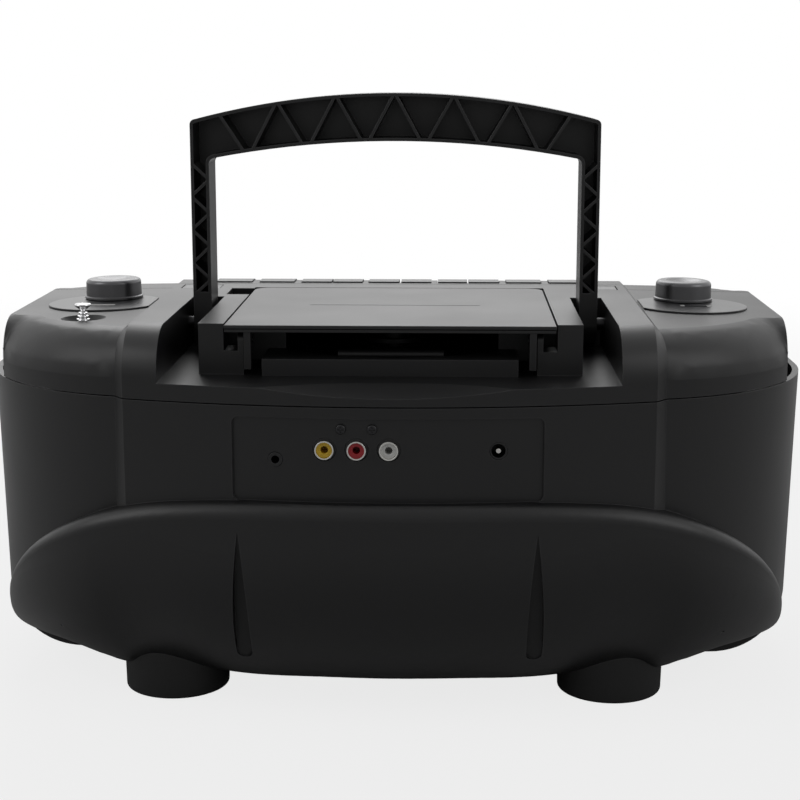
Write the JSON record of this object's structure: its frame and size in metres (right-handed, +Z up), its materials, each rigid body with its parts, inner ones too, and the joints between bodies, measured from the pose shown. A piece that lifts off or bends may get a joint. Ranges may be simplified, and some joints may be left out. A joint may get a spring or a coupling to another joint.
{
  "type": "portable disc player",
  "caption": "Portable disc player with a top lid over the disc well, round speakers, a folding arch handle, knobs, piano keys, a telescopic antenna and rear sockets.",
  "frame": {"origin": "centre of the bounding box's footprint, on the surface the feet stand on", "axes": "+X to the owner's right when facing the front, +Y to the back, where the sockets are, +Z up; the front faces -Y"},
  "size_m": [0.395, 0.238, 0.2809],
  "materials": {
    "case_black": "satin moulded black plastic",
    "front_black": "satin moulded black plastic",
    "handle_black": "satin moulded black plastic",
    "lid_black": "fine textured black plastic",
    "inner_black": "matte black plastic",
    "grille_metal": "dark painted metal",
    "ring_silver": "silver painted plastic",
    "driver_steel": "plain zinc plated steel",
    "cone_black": "coated black paper",
    "window": "polished dark acrylic",
    "module_grey": "plain grey plastic",
    "key_grey": "dark grey metallic paint",
    "knob_gunmetal": "gunmetal paint on plastic",
    "plate_grey": "dark grey satin plastic",
    "shaft_metal": "turned",
    "antenna_chrome": "polished",
    "damper_rubber": "soft matte rubber",
    "motor_metal": "plain drawn can",
    "sled_grey": "grey engineering plastic",
    "gear_white": "white engineering plastic",
    "lens_glass": "clear lens",
    "board_green": "green lacquered board",
    "component_black": "component bodies",
    "contact_metal": "nickel plated",
    "insert_yellow": "yellow plastic",
    "insert_red": "red plastic",
    "insert_white": "white plastic",
    "screw_black": "black zinc plated steel",
    "foot_black": "matte black rubber",
    "door_black": "satin moulded black plastic"
  },
  "bodies": {
    "case": {"antenna_tube": "antenna_chrome", "audio_left_insert": "insert_white", "audio_right_insert": "insert_red", "aux_jack": "inner_black", "battery_contacts": "contact_metal", "board_components": "component_black", "bottom_cabinet": "case_black", "circuit_boards": "board_green", "dampers": "damper_rubber", "disc_deck": "inner_black", "display_module": "module_grey", "display_window": "window", "feet": "foot_black", "front_panel": "front_black", "guide_rods": "antenna_chrome", "jack_contacts": "contact_metal", "knob_controls": "module_grey", "knob_plates": "plate_grey", "mech_plate": "driver_steel", "pivot_pins": "screw_black", "power_jack": "inner_black", "rca_block": "inner_black", "screws": "screw_black", "sled_motor": "motor_metal", "speaker_cones": "cone_black", "speaker_drivers": "driver_steel", "speaker_grilles": "grille_metal", "speaker_rings": "ring_silver", "spindle_motor": "motor_metal", "switch_boards": "board_green", "top_cabinet": "case_black", "video_insert": "insert_yellow"},
    "handle": {"handle": "handle_black"},
    "lid": {"lid_cover": "lid_black", "lid_frame": "inner_black"},
    "clamp": {"disc_clamp": "inner_black"},
    "hub": {"disc_hub": "inner_black"},
    "sled": {"pickup_sled": "sled_grey", "pickup_lens": "lens_glass"},
    "gear": {"sled_gear": "gear_white"},
    "volume": {"volume_knob": "knob_gunmetal", "volume_shaft": "shaft_metal"},
    "tuning": {"tuning_knob": "knob_gunmetal", "tuning_shaft": "shaft_metal"},
    "antenna_lower": {"antenna_stage_1": "antenna_chrome"},
    "antenna_middle": {"antenna_stage_2": "antenna_chrome"},
    "antenna_upper": {"antenna_tip": "antenna_chrome"},
    "mode_left": {"mode_button_left": "key_grey"},
    "mode_right": {"mode_button_right": "key_grey"},
    "battery_cover": {"battery_door": "door_black"},
    "key_body_1": {"key_1": "key_grey"},
    "key_body_2": {"key_2": "key_grey"},
    "key_body_3": {"key_3": "key_grey"},
    "key_body_4": {"key_4": "key_grey"},
    "key_body_5": {"key_5": "key_grey"},
    "key_body_6": {"key_6": "key_grey"},
    "key_body_7": {"key_7": "key_grey"},
    "key_body_8": {"key_8": "key_grey"},
    "key_body_9": {"key_9": "key_grey"},
    "key_body_10": {"key_10": "key_grey"}
  },
  "joints": [
    {"name": "handle_fold", "type": "hinge", "parent": "case", "child": "handle", "pos_m": [0, 0.0004, 0.1695], "axis": [-1, 0, 0], "range_deg": [0, 90]},
    {"name": "lid_open", "type": "hinge", "parent": "case", "child": "lid", "pos_m": [0, 0.0715, 0.1724], "axis": [-1, 0, 0], "range_deg": [0, 38]},
    {"name": "clamp_spin", "type": "hinge", "parent": "lid", "child": "clamp", "pos_m": [0, 0.013, 0.1715], "axis": [0, 0, 1], "continuous": true},
    {"name": "disc_spin", "type": "hinge", "parent": "case", "child": "hub", "pos_m": [0, 0.013, 0.1645], "axis": [0, 0, 1], "continuous": true},
    {"name": "sled_travel", "type": "slide", "parent": "case", "child": "sled", "axis": [0, -1, 0], "range_m": [0, 0.036]},
    {"name": "gear_spin", "type": "hinge", "parent": "case", "child": "gear", "pos_m": [-0.036, -0.02, 0.154], "axis": [0, 0, -1], "range_deg": [0, 344]},
    {"name": "volume_turn", "type": "hinge", "parent": "case", "child": "volume", "pos_m": [0.1435, -0.0245, 0.17718], "axis": [0.0175, 0, 0.9998], "range_deg": [-150, 150]},
    {"name": "tuning_turn", "type": "hinge", "parent": "case", "child": "tuning", "pos_m": [-0.1435, -0.0245, 0.17718], "axis": [-0.0175, 0, 0.9998], "range_deg": [-165, 165]},
    {"name": "antenna_pull_lower", "type": "slide", "parent": "case", "child": "antenna_lower", "axis": [0, 0, 1], "range_m": [0, 0.1]},
    {"name": "antenna_pull_middle", "type": "slide", "parent": "antenna_lower", "child": "antenna_middle", "axis": [0, 0, 1], "range_m": [0, 0.1]},
    {"name": "antenna_pull_upper", "type": "slide", "parent": "antenna_middle", "child": "antenna_upper", "axis": [0, 0, 1], "range_m": [0, 0.1]},
    {"name": "battery_cover_off", "type": "slide", "parent": "case", "child": "battery_cover", "axis": [0, 0, -1], "range_m": [0, 0.03]},
    {"name": "key_press_1", "type": "slide", "parent": "case", "child": "key_body_1", "axis": [0, 0, -1], "range_m": [0, 0.0012], "stiffness_N_per_m": 1000, "springref_m": -0.0003},
    {"name": "key_press_2", "type": "slide", "parent": "case", "child": "key_body_2", "axis": [0, 0, -1], "range_m": [0, 0.0012], "stiffness_N_per_m": 1000, "springref_m": -0.0003},
    {"name": "key_press_3", "type": "slide", "parent": "case", "child": "key_body_3", "axis": [0, 0, -1], "range_m": [0, 0.0012], "stiffness_N_per_m": 1000, "springref_m": -0.0003},
    {"name": "key_press_4", "type": "slide", "parent": "case", "child": "key_body_4", "axis": [0, 0, -1], "range_m": [0, 0.0012], "stiffness_N_per_m": 1000, "springref_m": -0.0003},
    {"name": "key_press_5", "type": "slide", "parent": "case", "child": "key_body_5", "axis": [0, 0, -1], "range_m": [0, 0.0012], "stiffness_N_per_m": 1000, "springref_m": -0.0003},
    {"name": "key_press_6", "type": "slide", "parent": "case", "child": "key_body_6", "axis": [0, 0, -1], "range_m": [0, 0.0012], "stiffness_N_per_m": 1000, "springref_m": -0.0003},
    {"name": "key_press_7", "type": "slide", "parent": "case", "child": "key_body_7", "axis": [0, 0, -1], "range_m": [0, 0.0012], "stiffness_N_per_m": 1000, "springref_m": -0.0003},
    {"name": "key_press_8", "type": "slide", "parent": "case", "child": "key_body_8", "axis": [0, 0, -1], "range_m": [0, 0.0012], "stiffness_N_per_m": 1000, "springref_m": -0.0003},
    {"name": "key_press_9", "type": "slide", "parent": "case", "child": "key_body_9", "axis": [0, 0, -1], "range_m": [0, 0.0012], "stiffness_N_per_m": 1000, "springref_m": -0.0003},
    {"name": "key_press_10", "type": "slide", "parent": "case", "child": "key_body_10", "axis": [0, 0, -1], "range_m": [0, 0.0012], "stiffness_N_per_m": 1000, "springref_m": -0.0003},
    {"name": "mode_press_left", "type": "slide", "parent": "case", "child": "mode_left", "axis": [0, 0, -1], "range_m": [0, 0.0012], "stiffness_N_per_m": 1000, "springref_m": -0.0003},
    {"name": "mode_press_right", "type": "slide", "parent": "case", "child": "mode_right", "axis": [0, 0, -1], "range_m": [0, 0.0012], "stiffness_N_per_m": 1000, "springref_m": -0.0003}
  ],
  "couplings": [
    {"joint": "gear_spin", "follows": "sled_travel", "rad_per_m": 166.67}
  ]
}
